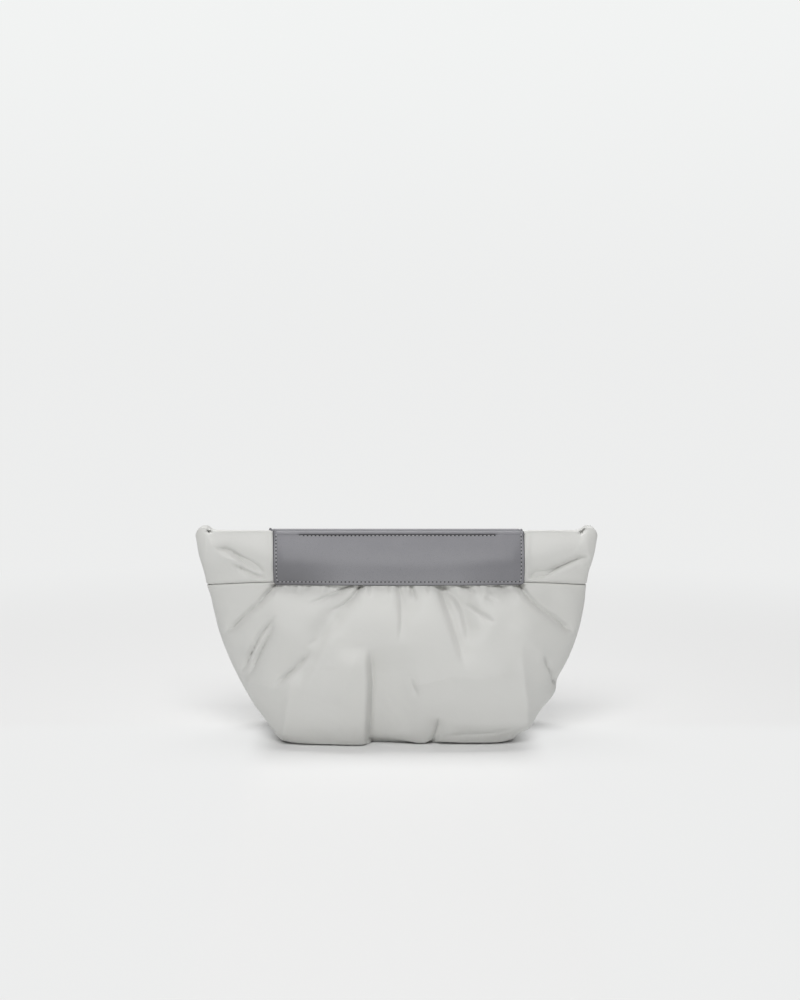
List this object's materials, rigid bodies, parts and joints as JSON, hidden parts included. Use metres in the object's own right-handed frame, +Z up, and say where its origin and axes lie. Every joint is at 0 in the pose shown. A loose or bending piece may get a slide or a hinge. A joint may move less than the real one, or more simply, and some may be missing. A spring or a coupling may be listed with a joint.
{
  "type": "clutch bag",
  "caption": "Soft padded clutch bag that stands on its base: a gathered cloth body under a smooth band, open at the top, with leather panels folded over the rim.",
  "frame": {"origin": "on the ground, at the centre of the bag's box", "axes": "+X along the width, to the right as seen from the front; +Y to the back; +Z up"},
  "size_m": [0.3, 0.1126, 0.1557],
  "materials": {
    "cloth": "matte padded woven cloth with a faint sheen",
    "leather": "smooth satin leather with a fine grain"
  },
  "bodies": {
    "root": {"gathered_body": "cloth", "yoke_band": "cloth", "front_panel": "leather", "back_panel": "leather"}
  },
  "joints": []
}
